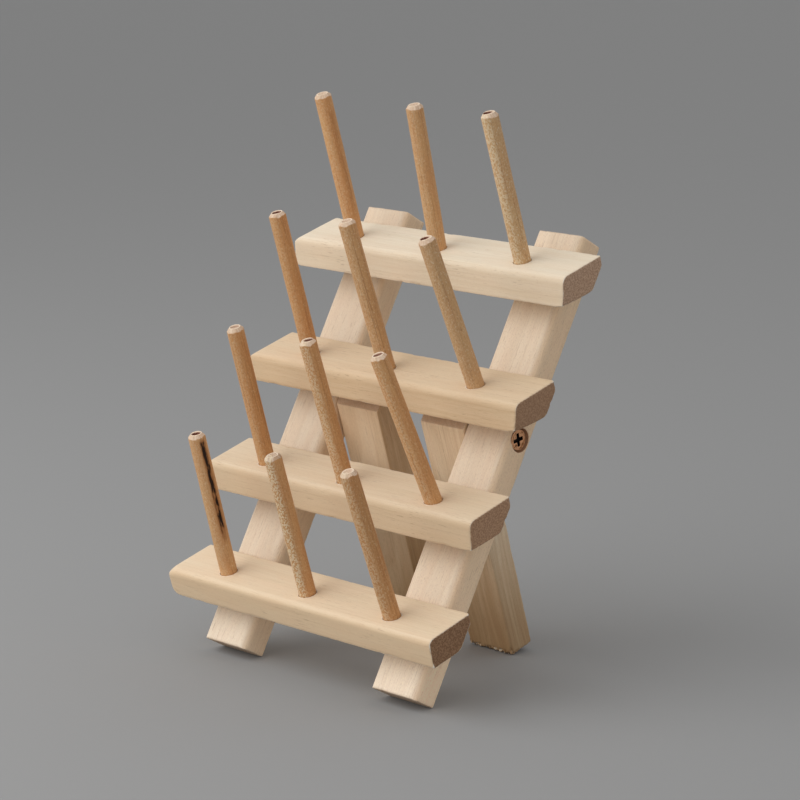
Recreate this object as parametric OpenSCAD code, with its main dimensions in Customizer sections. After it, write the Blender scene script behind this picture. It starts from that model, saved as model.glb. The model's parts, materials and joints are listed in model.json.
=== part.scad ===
// Folding rack for spools of sewing thread.
// Two flat rails lean back and carry four shelves of three pegs. Behind them two legs turn on a
// screw through each rail: open, their mitred heads bear on the back of the third shelf, and folded
// they lie between the rails. X runs along the shelves, Y to the back and Z up, in millimetres.
// The origin is on the floor, under the middle of the rack.

/* [Rails] */
// Length of a rail
rail_len = 171; // [168:1:190]
// Width of a rail, across the rack
rail_w = 21; // [17:0.5:24]
// Thickness of a rail, front to back
rail_t = 11; // [10.5:0.5:13]
// Distance between the middles of the two rails
rail_pitch = 84.6; // [78:0.2:88]
// How far the pair of rails sits to the right of the shelves' middle
rail_shift = 0; // [-2:0.1:2]
// Lean of the rails from upright, in degrees
rail_lean = 29.5; // [27:0.5:32]
// Rounding of the rails' right front edge
rail_round = 3; // [1:0.1:4]
// Rounding of the rails' left front edge
rail_left_round = 1.8; // [0.5:0.1:4]
// Rounding of the rails' long edges at the back
rail_back_round = 0.8; // [0.5:0.1:2.5]

/* [Shelves] */
// Length of a shelf
shelf_len = 132; // [128:0.5:170]
// Depth of a shelf's top, back edge to front
shelf_depth = 21; // [19:0.5:27]
// Thickness of a shelf
shelf_t = 10.7; // [9.5:0.1:12]
// Fall of a shelf's top towards the front, in degrees
shelf_tilt = 15.5; // [13:0.5:18]
// Height of the square flat left at a shelf's back edge, above its bevel
back_flat = 3.1; // [0.5:0.1:4]
// Lean of a shelf's front face out of square, its foot to the front, in degrees
front_lean = 12; // [0:0.5:18]
// Rounding of a shelf's upper front edge
front_round = 3; // [1:0.1:4]
// Rounding of a shelf's lower front edge
under_round = 0.5; // [0.3:0.1:3]
// Rounding of a shelf's lower back edge, where its bevel meets its underside
heel_round = 4; // [0.5:0.1:5]
// Easing of a shelf's right end
right_ease = 0.4; // [0.2:0.1:2]
// Rounding of a shelf's left end, seen from the front
left_nose = 3.8; // [0.5:0.1:4.5]
// Rounding of a shelf's left front corner, seen from above
left_ease = 1.5; // [0.5:0.1:3]
// Rounding of a shelf's back corners, seen from above
back_ease = 1.2; // [0.2:0.1:3]
// Distance up the rails to the back edge of the lowest shelf
seat_1 = 33.2; // [28:0.1:40]
// Distance up the rails to the back edge of the second shelf
seat_2 = 75.2; // [66:0.1:80]
// Distance up the rails to the back edge of the third shelf
seat_3 = 117.7; // [116:0.1:119]
// Distance of the top shelf's back edge below the rails' upper ends
top_drop = 6.8; // [4:0.1:20]
// Shift of each shelf to the right, lowest first
shelf_shift = [-1, -2, -0.75, -0.25]; // [-3:0.25:3]

/* [Pegs] */
// Diameter of a peg
peg_d = 6.3; // [5:0.1:8]
// Distance of the pegs from a shelf's back edge
peg_place = 13; // [11:0.5:14]
// Chamfer at a peg's tip, along the peg
peg_chamfer = 1.7; // [0.4:0.1:2.5]
// Chamfer at a peg's tip, across the peg
peg_narrow = 1.1; // [0.4:0.1:2]
// Wood left under a peg's hole
peg_floor = 2; // [1.5:0.1:4]
// Pegs of the lowest shelf: place along the shelf, left to right
peg_x_1 = [-41, -0.5, 40.5]; // [-50:0.5:50]
// Pegs of the lowest shelf: slant to the front and to the left, in degrees
peg_slant_1 = [0, 1, 3]; // [-4:0.5:7]
// Pegs of the lowest shelf: height that stands out of the shelf
peg_stand_1 = [55, 54, 56]; // [45:0.5:65]
// Pegs of the second shelf: place along the shelf
peg_x_2 = [-42.5, -2.5, 40]; // [-50:0.5:50]
// Pegs of the second shelf: slant to the front and to the left, in degrees
peg_slant_2 = [0.5, 2, 6]; // [-4:0.5:7]
// Pegs of the second shelf: height that stands out of the shelf
peg_stand_2 = [53.5, 54.5, 57]; // [45:0.5:65]
// Pegs of the third shelf: place along the shelf
peg_x_3 = [-41, -2.5, 40]; // [-50:0.5:50]
// Pegs of the third shelf: slant to the front and to the left, in degrees
peg_slant_3 = [1, 2.5, 5]; // [-4:0.5:7]
// Pegs of the third shelf: height that stands out of the shelf
peg_stand_3 = [55.5, 57, 56.5]; // [45:0.5:65]
// Pegs of the top shelf: place along the shelf
peg_x_4 = [-41, 0.5, 40.5]; // [-50:0.5:50]
// Pegs of the top shelf: slant to the front and to the left, in degrees
peg_slant_4 = [1, -1, 1.5]; // [-4:0.5:7]
// Pegs of the top shelf: height that stands out of the shelf
peg_stand_4 = [55.5, 54, 55]; // [45:0.5:65]

/* [Legs] */
// Width of a leg, across the rack
leg_w = 21; // [16:0.5:22]
// Thickness of a leg, front to back
leg_t = 11; // [9.5:0.5:11.5]
// Lean of the open legs from upright, in degrees
leg_lean = 17; // [15:0.5:19]
// Rounding of the legs' long edges
leg_round = 0.8; // [0.5:0.1:2.5]
// Distance up the rails to the legs' pivot
pivot_up = 96.5; // [95:0.5:98]
// Blunting of the tip of a leg's mitred head
head_blunt = 1; // [0.5:0.1:2]

/* [Screws] */
// Shank diameter of a pivot screw
pivot_screw_d = 4; // [3:0.1:4.5]
// Head diameter of a pivot screw
pivot_head_d = 7.6; // [6:0.1:8]
// How far a pivot screw's head lies below the side of its rail
pivot_sink = 1; // [0:0.1:2]
// Turn of the pivot screws about their own axis, in degrees
pivot_turn = 39; // [0:1:90]
// How far a pivot screw bites into its leg
pivot_bite = 12; // [8:0.5:13]
// Shank diameter of a shelf screw
shelf_screw_d = 3; // [2.5:0.1:3.5]
// Head diameter of a shelf screw
shelf_head_d = 6; // [5:0.1:7]
// How far a shelf screw bites into its shelf
shelf_bite = 5; // [3:0.5:5]
// Distance of a shelf screw below the shelf's back edge, along the rail
shelf_screw_down = 7.5; // [7:0.1:8]
// Distance of the shelf screws to the right of a rail's middle
shelf_screw_side = 4.5; // [3.8:0.1:5.5]

/* [Fits] */
// Easing of the rails' and legs' ends
end_round = 0.8; // [0.3:0.1:1.2]
// Gap between a leg and its rail
leg_gap = 0.3; // [0.3:0.1:1]
// Gap between an open leg's head and the shelf that stops it
stop_gap = 0.1; // [0.1:0.05:0.3]
// Gap between a folded leg and the backs of the shelves
fold_gap = 0.4; // [0.3:0.1:0.8]
// Gap round a pivot screw in its rail
pivot_gap = 0.05; // [0.02:0.01:0.1]
// Gap round a pivot screw's head in its countersink
head_gap = 0.4; // [0.4:0.05:0.6]
// Gap round a peg or screw that is fixed in its hole
glue_gap = 0.04; // [0.02:0.01:0.1]
// How much slimmer a peg is inside its hole
peg_shoulder = 0.65; // [0.4:0.05:1]
// How far the shelf screws' heads lie below the rails' backs
head_sink = 0.2; // [0:0.05:0.5]

/* [Hidden] */
$fn = 48;

// Colours of the parts
BOARD = "wheat";
LEG = "tan";
DOWEL = "burlywood";
STEEL = "darkgoldenrod";

// Sides of the rack
LEFT = -1;
RIGHT = 1;

// Overlap that lets one cut run clear through another face
over = 1;
// Depth, blade width and span of a screw's cross recess, as shares of its shank
recess_depth = 0.25;
recess_blade = 0.34;
recess_span = 1.2;
// Length of a screw's point and width of its tip, as shares of its shank
point_len = 1.2;
point_tip = 0.2;
// Gap left at the bottom of a blind hole
hole_end_gap = 0.3;

ROWS = [1, 2, 3, 4];
COLUMNS = [0, 1, 2];
seats = [seat_1, seat_2, seat_3, rail_len - top_drop];
peg_xs = [peg_x_1, peg_x_2, peg_x_3, peg_x_4];
peg_slants = [peg_slant_1, peg_slant_2, peg_slant_3, peg_slant_4];
peg_stands = [peg_stand_1, peg_stand_2, peg_stand_3, peg_stand_4];

// Angle from a shelf's up direction to the rails
shelf_turn = rail_lean + shelf_tilt;
// Angle from an open leg to the rails, which is the turn that folds it
leg_turn = rail_lean + leg_lean;
// Angle of a shelf's bevel to its top
bevel = 90 - shelf_turn;
// How far the foot of a shelf's front face stands out
front_out = shelf_t * tan(front_lean);
// Depth of the bevel along the underside
bevel_depth = (shelf_t - back_flat) / tan(bevel);
// How far a shelf's upper back edge stands in front of the rails
edge_out = back_flat * cos(bevel);

// A leg's middle lies so far behind the rails' front that it folds clear of the shelves
pivot_in = leg_t / 2 + fold_gap;
// Length of a leg above its pivot, to the tip of its mitred head
head_up = (pivot_in - stop_gap + cos(leg_turn) * leg_t / 2) / sin(leg_turn) - head_blunt;

// Height of the rails' front lower edge when their back lower edge stands on the floor
rail_z = end_round + sin(rail_lean) * (rail_t - end_round) - cos(rail_lean) * end_round;
pivot_z = rail_z - sin(rail_lean) * pivot_in + cos(rail_lean) * pivot_up;
pivot_y = cos(rail_lean) * pivot_in + sin(rail_lean) * pivot_up;
// Length of a leg below its pivot when its front lower edge stands on the floor
leg_drop = (pivot_z - end_round + (end_round - leg_t / 2) * sin(leg_lean)) / cos(leg_lean) + end_round;

peg_r = peg_d / 2;
tenon_r = peg_r - peg_shoulder;
hole_depth = shelf_t - peg_floor;

pivot_screw_len = rail_w + leg_gap + pivot_bite - pivot_sink;
shelf_screw_len = rail_t + shelf_bite - head_sink;

// Distance of a shelf's upper back edge behind the rails' front lower edge
function shelf_y(row) = sin(rail_lean) * seats[row - 1] - cos(rail_lean) * edge_out;

// Direction of a peg in its shelf's frame
function peg_way(row, col) =
    let (slope = tan(peg_slants[row - 1][col]))
    [-slope, -slope, 1] / norm([slope, slope, 1]);

// Height of a peg's shoulder along its axis: the low side of a slanted one just clears the shelf
function peg_lift(row, col) =
    let (way = peg_way(row, col))
    glue_gap + peg_r * norm([way[0], way[1]]) / way[2];

// Foremost point of a ring on a peg: far along the peg, with its own radius
function ring_front(row, col, far, ring_r) =
    let (way = peg_way(row, col))
    let (forward = cos(shelf_tilt) * way[1] - sin(shelf_tilt) * way[2])
    shelf_y(row) - cos(shelf_tilt) * peg_place + forward * far - ring_r * sqrt(1 - forward * forward);

function peg_front(row, col) =
    let (stand = peg_stands[row - 1][col])
    min(ring_front(row, col, stand, peg_r - peg_narrow), ring_front(row, col, stand - peg_chamfer, peg_r));

// The rack reaches from its foremost peg to the rails' upper ends or the legs' feet
front_y = min([for (row = ROWS) for (col = COLUMNS) peg_front(row, col)]);
rail_back_y = cos(rail_lean) * (rail_t - end_round) + sin(rail_lean) * (rail_len - end_round) + end_round;
leg_back_y = pivot_y + cos(leg_lean) * (leg_t / 2 - end_round)
    + sin(leg_lean) * (leg_drop - end_round) + end_round;
rail_y = -(front_y + max(rail_back_y, leg_back_y)) / 2;
// Shelves that are shifted to one side move the middle of the rack
middle_x = (min(shelf_shift) + max(shelf_shift)) / 2;

function rail_x(side) = rail_shift + side * rail_pitch / 2;
// A leg lies against its rail's inner side
function leg_x(side) = rail_x(side) - side * (rail_w / 2 + leg_gap + leg_w / 2);

// Frame of the rails: Y into the rails from their front, Z up along them
module on_rails() {
    translate([-middle_x, rail_y, rail_z]) rotate([-rail_lean, 0, 0]) children();
}

// Frame of a shelf: its top at Z 0 and its upper back edge at Y 0
module on_shelf(row) {
    on_rails()
        translate([shelf_shift[row - 1], -edge_out, seats[row - 1]])
            rotate([shelf_turn, 0, 0]) children();
}

// Frame of a peg: its axis along Z, with Z 0 in the shelf's top
module on_peg(row, col) {
    way = peg_way(row, col);
    translate([peg_xs[row - 1][col] - shelf_shift[row - 1], -peg_place, 0])
        rotate([0, acos(way[2]), atan2(way[1], way[0])]) children();
}

// Frame of an open leg: the pivot at its origin, Z up along the leg
module on_leg(side) {
    on_rails()
        translate([leg_x(side), pivot_in, pivot_up])
            rotate([leg_turn, 0, 0]) children();
}

// Frame of a pivot screw: Z 0 on the outer side of the rail, Z out of it
module on_pivot(side) {
    on_rails()
        translate([rail_x(side) + side * rail_w / 2, pivot_in, pivot_up])
            rotate([0, side * 90, 0]) rotate(pivot_turn) children();
}

// Frame of the screw that holds a shelf on a rail: Z 0 on the rail's back, Z out of it
module on_shelf_screw(side, row) {
    on_rails()
        translate([rail_x(side) + shelf_screw_side, rail_t, seats[row - 1] - shelf_screw_down])
            rotate([-90, 0, 0]) children();
}

// What a round takes off a square corner whose sides run along +X and +Y
module corner_cut(corner) {
    difference() {
        translate([-over, -over]) square(corner + over);
        translate([corner, corner]) circle(corner);
    }
}

// The same rounding at all four corners
function even(corner) = [corner, corner, corner, corner];

// Centred rectangle with round corners: lower left, lower right, upper right and upper left
module rounded(width, height, corners) {
    places = [[-width, -height], [width, -height], [width, height], [-width, height]] / 2;
    difference() {
        square([width, height], center = true);
        for (n = [0 : 3])
            translate(places[n]) rotate(90 * n) corner_cut(corners[n]);
    }
}

// Square-cut strip that stands on Z 0, front at -Y: long edges rounded, ends eased on all sides
module strip(width, thick, long, long_edges) {
    intersection() {
        linear_extrude(long) rounded(width, thick, long_edges);
        translate([0, thick, long / 2])
            rotate([90, 0, 0]) linear_extrude(2 * thick) rounded(width, long, even(end_round));
        translate([-width, 0, long / 2])
            rotate([90, 0, 90]) linear_extrude(2 * width) rounded(thick, long, even(end_round));
    }
}

// Wood screw with a countersunk head that lies a little below Z 0
module screw(shank_d, head_d, long, sink) {
    shank_r = shank_d / 2;
    head_r = head_d / 2;
    translate([0, 0, -sink]) difference() {
        rotate_extrude() polygon([
            [0, 0], [head_r, 0], [shank_r, shank_r - head_r],
            [shank_r, point_len * shank_d - long], [point_tip * shank_r, -long], [0, -long]
        ]);
        for (turn = [0, 90])
            rotate(turn) translate([0, 0, over - recess_depth * shank_d])
                cube([recess_span * shank_d, recess_blade * shank_d, 2 * over], center = true);
    }
}

// Hole for such a screw, with a gap round its shank and another round its head
module screw_hole(shank_d, head_d, long, sink, shank_gap, cone_gap) {
    narrow = shank_d / 2 + shank_gap;
    wide = head_d / 2 + cone_gap;
    rotate_extrude() polygon([
        [0, over], [wide, over], [wide, -sink], [narrow, narrow - wide - sink],
        [narrow, -sink - long - hole_end_gap], [0, -sink - long - hole_end_gap]
    ]);
}

module rail(side) {
    color(BOARD) difference() {
        on_rails() translate([rail_x(side), rail_t / 2, 0])
            strip(rail_w, rail_t, rail_len, [rail_left_round, rail_round, rail_back_round, rail_back_round]);
        on_pivot(side) pivot_hole();
        for (row = ROWS)
            on_shelf_screw(side, row) shelf_screw_hole();
    }
}

module pivot_hole() screw_hole(pivot_screw_d, pivot_head_d, pivot_screw_len, pivot_sink, pivot_gap, head_gap);

module shelf_screw_hole()
    screw_hole(shelf_screw_d, shelf_head_d, shelf_screw_len, head_sink, glue_gap, glue_gap);

// What a round takes off a corner that points to -Y, where the outline turns by an angle
module turn_cut(turn, corner) {
    half = turn / 2;
    reach = corner * tan(half);
    difference() {
        translate([-reach * cos(half), -over]) square([2 * reach * cos(half), over + reach * sin(half)]);
        translate([0, corner / cos(half)]) circle(corner);
    }
}

// Section of a shelf, from its back edge at the origin: X to the front and Y up
module shelf_section() {
    nose = [shelf_depth, 0];
    toe = [shelf_depth + front_out, -shelf_t];
    heel = [bevel_depth, -shelf_t];
    difference() {
        polygon([[0, 0], nose, toe, heel, [0, -back_flat]]);
        translate(nose) rotate(135 + front_lean / 2) turn_cut(90 - front_lean, front_round);
        translate(toe) rotate(45 + front_lean / 2) turn_cut(90 + front_lean, under_round);
        translate(heel) rotate(-bevel / 2) turn_cut(bevel, heel_round);
    }
}

// Shelf before it is drilled: its section run along X, its left end rounded and its right end eased
module shelf_board() {
    deep = shelf_depth + front_out;
    intersection() {
        rotate([90, 0, -90]) linear_extrude(shelf_len, center = true) shelf_section();
        translate([0, 0, -shelf_t / 2])
            rotate([90, 0, 0]) linear_extrude(2 * shelf_depth)
                rounded(shelf_len, shelf_t, [left_nose, right_ease, right_ease, left_nose]);
        translate([0, -shelf_depth, 0]) rotate([-front_lean, 0, 0]) translate([0, deep, -2 * shelf_t])
            linear_extrude(4 * shelf_t)
                rounded(shelf_len, 2 * deep, [left_ease, right_ease, right_ease, left_ease]);
        translate([0, -deep, -2 * shelf_t])
            linear_extrude(4 * shelf_t) rounded(shelf_len, 2 * deep, even(back_ease));
    }
}

module shelf(row) {
    color(BOARD) difference() {
        on_shelf(row) shelf_board();
        on_shelf(row)
            for (col = COLUMNS)
                on_peg(row, col)
                    translate([0, 0, -hole_depth]) cylinder(r = tenon_r + glue_gap, h = 2 * hole_depth);
        for (side = [LEFT, RIGHT])
            on_shelf_screw(side, row) shelf_screw_hole();
    }
}

// Peg turned in one piece: tenon, shoulder square to its axis, wall and chamfered tip
module peg(row, col) {
    stand = peg_stands[row - 1][col];
    shoulder = peg_lift(row, col);
    foot = hole_end_gap - hole_depth;
    color(DOWEL) on_shelf(row) on_peg(row, col) rotate_extrude() polygon([
        [0, foot], [tenon_r, foot], [tenon_r, shoulder], [peg_r, shoulder],
        [peg_r, stand - peg_chamfer], [peg_r - peg_narrow, stand], [0, stand]
    ]);
}

// The head is cut off along the front of the rails, so that it bears on the back of the third shelf
module leg(side) {
    color(LEG) difference() {
        intersection() {
            on_leg(side)
                translate([0, 0, -leg_drop]) strip(leg_w, leg_t, leg_drop + head_up, even(leg_round));
            on_rails()
                translate([leg_x(side) - leg_w, stop_gap, 0]) cube([2 * leg_w, rail_len, rail_len]);
        }
        on_pivot(side) leg_hole();
    }
}

module leg_hole() screw_hole(pivot_screw_d, pivot_head_d, pivot_screw_len, pivot_sink, glue_gap, head_gap);

module pivot_screw(side) {
    color(STEEL) on_pivot(side) screw(pivot_screw_d, pivot_head_d, pivot_screw_len, pivot_sink);
}

module shelf_screws(side) {
    color(STEEL)
        for (row = ROWS)
            on_shelf_screw(side, row) screw(shelf_screw_d, shelf_head_d, shelf_screw_len, head_sink);
}

rail(LEFT);  // left_rail
rail(RIGHT);  // right_rail
shelf(1);  // shelf_1
shelf(2);  // shelf_2
shelf(3);  // shelf_3
shelf(4);  // shelf_4
peg(1, 0);  // peg_1_1
peg(1, 1);  // peg_1_2
peg(1, 2);  // peg_1_3
peg(2, 0);  // peg_2_1
peg(2, 1);  // peg_2_2
peg(2, 2);  // peg_2_3
peg(3, 0);  // peg_3_1
peg(3, 1);  // peg_3_2
peg(3, 2);  // peg_3_3
peg(4, 0);  // peg_4_1
peg(4, 1);  // peg_4_2
peg(4, 2);  // peg_4_3
leg(LEFT);  // left_leg
leg(RIGHT);  // right_leg
pivot_screw(LEFT);  // left_pivot_screw
pivot_screw(RIGHT);  // right_pivot_screw
shelf_screws(LEFT);  // left_shelf_screws
shelf_screws(RIGHT);  // right_shelf_screws
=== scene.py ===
"""Looks of a folding rack for spools of thread: bare sanded boards, turned pegs and browned screws."""
import json
import logging
import math
from dataclasses import dataclass, field
from enum import Enum
from typing import Any, Iterable, Optional, Sequence, Union

import bmesh
import bpy
import numpy as np
from mathutils import Color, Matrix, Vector

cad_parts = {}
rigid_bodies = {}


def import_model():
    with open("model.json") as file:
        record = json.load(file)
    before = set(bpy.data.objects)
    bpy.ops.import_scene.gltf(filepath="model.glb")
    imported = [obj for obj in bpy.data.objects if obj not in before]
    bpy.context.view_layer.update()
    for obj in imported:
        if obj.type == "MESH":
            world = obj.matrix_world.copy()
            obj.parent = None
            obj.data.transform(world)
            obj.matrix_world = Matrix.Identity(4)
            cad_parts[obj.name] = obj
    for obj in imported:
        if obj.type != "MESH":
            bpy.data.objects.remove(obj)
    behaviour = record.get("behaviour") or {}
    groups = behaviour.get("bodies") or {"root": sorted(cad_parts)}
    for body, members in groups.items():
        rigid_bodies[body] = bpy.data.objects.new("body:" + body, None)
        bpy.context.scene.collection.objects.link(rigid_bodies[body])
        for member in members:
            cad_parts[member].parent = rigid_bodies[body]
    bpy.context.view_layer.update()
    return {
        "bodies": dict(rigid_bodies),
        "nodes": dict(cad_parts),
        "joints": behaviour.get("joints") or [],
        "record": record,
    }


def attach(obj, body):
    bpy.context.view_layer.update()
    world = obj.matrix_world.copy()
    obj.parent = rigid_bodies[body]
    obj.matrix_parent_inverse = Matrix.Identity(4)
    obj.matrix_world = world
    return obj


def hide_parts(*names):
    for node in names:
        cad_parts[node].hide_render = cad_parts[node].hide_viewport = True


log = logging.getLogger("spool_rack")

MM = 0.001
RAIL_LEAN = math.radians(29.5)
SHELF_FALL = math.radians(15.5)
LEG_LEAN = math.radians(17)
NOISE_MIDDLE = 0.5

Frame = dict[str, Any]
Colour = tuple[float, float, float, float]
Triple = tuple[float, float, float]
Socket = bpy.types.NodeSocket
Value = Union[Socket, float, int, tuple]

PLAIN: Triple = (0.0, 0.0, 0.0)
RIGHTWARD: Triple = (1.0, 0.0, 0.0)
BACKWARD: Triple = (0.0, 1.0, 0.0)


class Slot(Enum):
    """Material slots of the record."""

    BOARD = "board"
    DOWEL = "dowel"
    LEG = "leg"
    SCREW = "screw"


class Side(Enum):
    """Sides of the rack."""

    LEFT = "left"
    RIGHT = "right"


class Kind(Enum):
    """Kinds of socket on a group."""

    NUMBER = "NodeSocketFloat"
    WHOLE = "NodeSocketInt"
    VECTOR = "NodeSocketVector"
    COLOUR = "NodeSocketColor"
    MATERIAL = "NodeSocketMaterial"
    SHAPE = "NodeSocketGeometry"


class Stored(Enum):
    """Kinds of value that a mesh carries on its points."""

    NUMBER = "FLOAT"
    VECTOR = "FLOAT_VECTOR"


def tint(red: int, green: int, blue: int) -> Colour:
    """Turns a colour of screen values from 0 to 255 into the linear one that a shader takes."""
    return (*Color((red / 255, green / 255, blue / 255)).from_srgb_to_scene_linear(), 1.0)


def live(sockets: Iterable[Socket], kind: Optional[str] = None) -> Socket:
    """Picks the socket that a node uses for its data type, of one kind where that is given."""
    return next(socket for socket in sockets if socket.enabled and kind in (None, socket.type))


@dataclass(frozen=True)
class Mark:
    """A kind of mark in the wood, cut out of noise.

    Its size, in millimetres, is given along the grain, to the side and off the face. It begins where the
    noise passes low and is full at high, and it shows at least the share in least everywhere.
    """

    size: Triple
    low: float = 0.0
    high: float = 1.0
    detail: float = 2.0
    rough: float = 0.5
    least: float = 0.0


class Graph:
    """Adds nodes to one tree and joins them."""

    MIX_INPUTS = (0, 6, 7)
    MIX_RESULT = 2

    def __init__(self, tree: bpy.types.NodeTree) -> None:
        """Keeps the tree that takes the nodes."""
        self.tree = tree

    def add(self, kind: str, inputs: Optional[dict[Any, Value]] = None, **settings: Any) -> bpy.types.Node:
        """Adds one node.

        Args:
            kind: Blender's name of the node.
            inputs: Value of each input, by its name or number.
            settings: Values of the node's own settings.

        Returns:
            The new node.
        """
        node = self.tree.nodes.new(kind)
        for name, value in settings.items():
            setattr(node, name, value)
        for key, value in (inputs or {}).items():
            self.feed(node.inputs[key], value)
        return node

    def feed(self, socket: Socket, value: Value) -> None:
        """Links a value into a socket, or sets it there as a constant.

        Args:
            socket: The input socket.
            value: An output socket or a constant.
        """
        if isinstance(value, Socket):
            self.tree.links.new(value, socket)
        else:
            socket.default_value = value

    def math(self, operation: str, first: Value, second: Value = 0.0, clamp: bool = False) -> Socket:
        """Adds one sum of two numbers, which stays from 0 to 1 where clamp is set."""
        node = self.add("ShaderNodeMath", {0: first, 1: second}, operation=operation, use_clamp=clamp)
        return node.outputs[0]

    def chain(self, operation: str, numbers: Sequence[Value]) -> Socket:
        """Works through numbers from the first one on.

        Args:
            operation: Blender's name of the operation.
            numbers: The numbers.

        Returns:
            The result.
        """
        result = numbers[0]
        for number in numbers[1:]:
            result = self.math(operation, result, number)
        return result

    def product(self, *numbers: Value) -> Socket:
        """Multiplies numbers."""
        return self.chain("MULTIPLY", numbers)

    def total(self, *numbers: Value) -> Socket:
        """Adds numbers up."""
        return self.chain("ADD", numbers)

    def less(self, *numbers: Value) -> Socket:
        """Takes the other numbers away from the first one."""
        return self.chain("SUBTRACT", numbers)

    def ratio(self, first: Value, second: Value) -> Socket:
        """Divides the first number by the second."""
        return self.math("DIVIDE", first, second)

    def vector(self, operation: str, first: Value, second: Value = PLAIN) -> Socket:
        """Adds one sum of vectors.

        Args:
            operation: Blender's name of the operation.
            first: First vector.
            second: Second vector.

        Returns:
            The result, a number for a dot product or a length.
        """
        node = self.add("ShaderNodeVectorMath", {0: first, 1: second}, operation=operation)
        return node.outputs["Value"] if operation in ("DOT_PRODUCT", "LENGTH") else node.outputs["Vector"]

    def scaled(self, vector: Value, factor: Value) -> Socket:
        """Multiplies a vector by a number."""
        node = self.add("ShaderNodeVectorMath", {0: vector, "Scale": factor}, operation="SCALE")
        return node.outputs["Vector"]

    def apart(self, vector: Value) -> list[Socket]:
        """Splits a vector into its three numbers."""
        return list(self.add("ShaderNodeSeparateXYZ", {0: vector}).outputs)

    def together(self, x: Value, y: Value, z: Value) -> Socket:
        """Joins three numbers into a vector."""
        return self.add("ShaderNodeCombineXYZ", {0: x, 1: y, 2: z}).outputs[0]

    def smooth(self, value: Value, low: Value, high: Value, start: float = 0.0, end: float = 1.0) -> Socket:
        """Runs softly from one number to another as a value rises.

        Args:
            value: The value that is read.
            low: Where the change begins.
            high: Where it ends.
            start: Result at and below low.
            end: Result at and above high.

        Returns:
            The eased number.
        """
        inputs = dict(enumerate((value, low, high, start, end)))
        return self.add("ShaderNodeMapRange", inputs, interpolation_type="SMOOTHSTEP").outputs[0]

    def pattern(self, at: Value, mark: Mark) -> Socket:
        """Adds the noise that marks are cut out of.

        Args:
            at: Point that is read, in millimetres.
            mark: The kind of mark.

        Returns:
            The noise, from 0 to 1.
        """
        waves = tuple(1 / length for length in mark.size)
        inputs = {"Vector": self.vector("MULTIPLY", at, waves), "Scale": 1.0, "Detail": mark.detail,
                  "Roughness": mark.rough}
        return self.add("ShaderNodeTexNoise", inputs, noise_dimensions="3D").outputs[0]

    def shown(self, noise: Value, mark: Mark) -> Socket:
        """Cuts marks out of their noise."""
        return self.smooth(noise, mark.low, mark.high, mark.least)

    def marks(self, at: Value, mark: Mark) -> Socket:
        """Adds marks of one kind."""
        return self.shown(self.pattern(at, mark), mark)

    def mix(self, factor: Value, first: Value, second: Value) -> Socket:
        """Blends two colours, with the factor as the share of the second."""
        inputs = dict(zip(self.MIX_INPUTS, (factor, first, second)))
        return self.add("ShaderNodeMix", inputs, data_type="RGBA").outputs[self.MIX_RESULT]

    def layered(self, colour: Value, layers: Sequence[tuple[Value, Value]]) -> Socket:
        """Lays colours over one another.

        Args:
            colour: The lowest colour.
            layers: Share and colour of each layer, from below.

        Returns:
            The blended colour.
        """
        for share, over in layers:
            colour = self.mix(share, colour, over)
        return colour

    def attribute(self, name: str, output: str = "Fac") -> Socket:
        """Reads a value that a mesh carries."""
        return self.add("ShaderNodeAttribute", attribute_name=name).outputs[output]

    def use(self, tree: bpy.types.NodeTree, **inputs: Value) -> dict[str, Socket]:
        """Adds a node group and gives its outputs by name."""
        node = self.add("ShaderNodeGroup", inputs, node_tree=tree)
        return {socket.name: socket for socket in node.outputs}


class EffectGroup:
    """A shader group with named inputs and outputs."""

    def __init__(self, name: str, inputs: dict[str, Kind], outputs: Sequence[str],
                 kind: Kind = Kind.NUMBER) -> None:
        """Makes the group's tree and its sockets.

        Args:
            name: Name of the group.
            inputs: Kind of each named input.
            outputs: Names of the outputs.
            kind: Kind of the outputs.
        """
        self.tree = bpy.data.node_groups.new(name, "ShaderNodeTree")
        for label, taken in inputs.items():
            self.tree.interface.new_socket(name=label, in_out="INPUT", socket_type=taken.value)
        for label in outputs:
            self.tree.interface.new_socket(name=label, in_out="OUTPUT", socket_type=kind.value)
        self.graph = Graph(self.tree)
        self.given = self.graph.add("NodeGroupInput").outputs
        self.result = self.graph.add("NodeGroupOutput").inputs

    def give(self, name: str, value: Value) -> None:
        """Joins a value to one of the outputs."""
        self.graph.feed(self.result[name], value)


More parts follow.
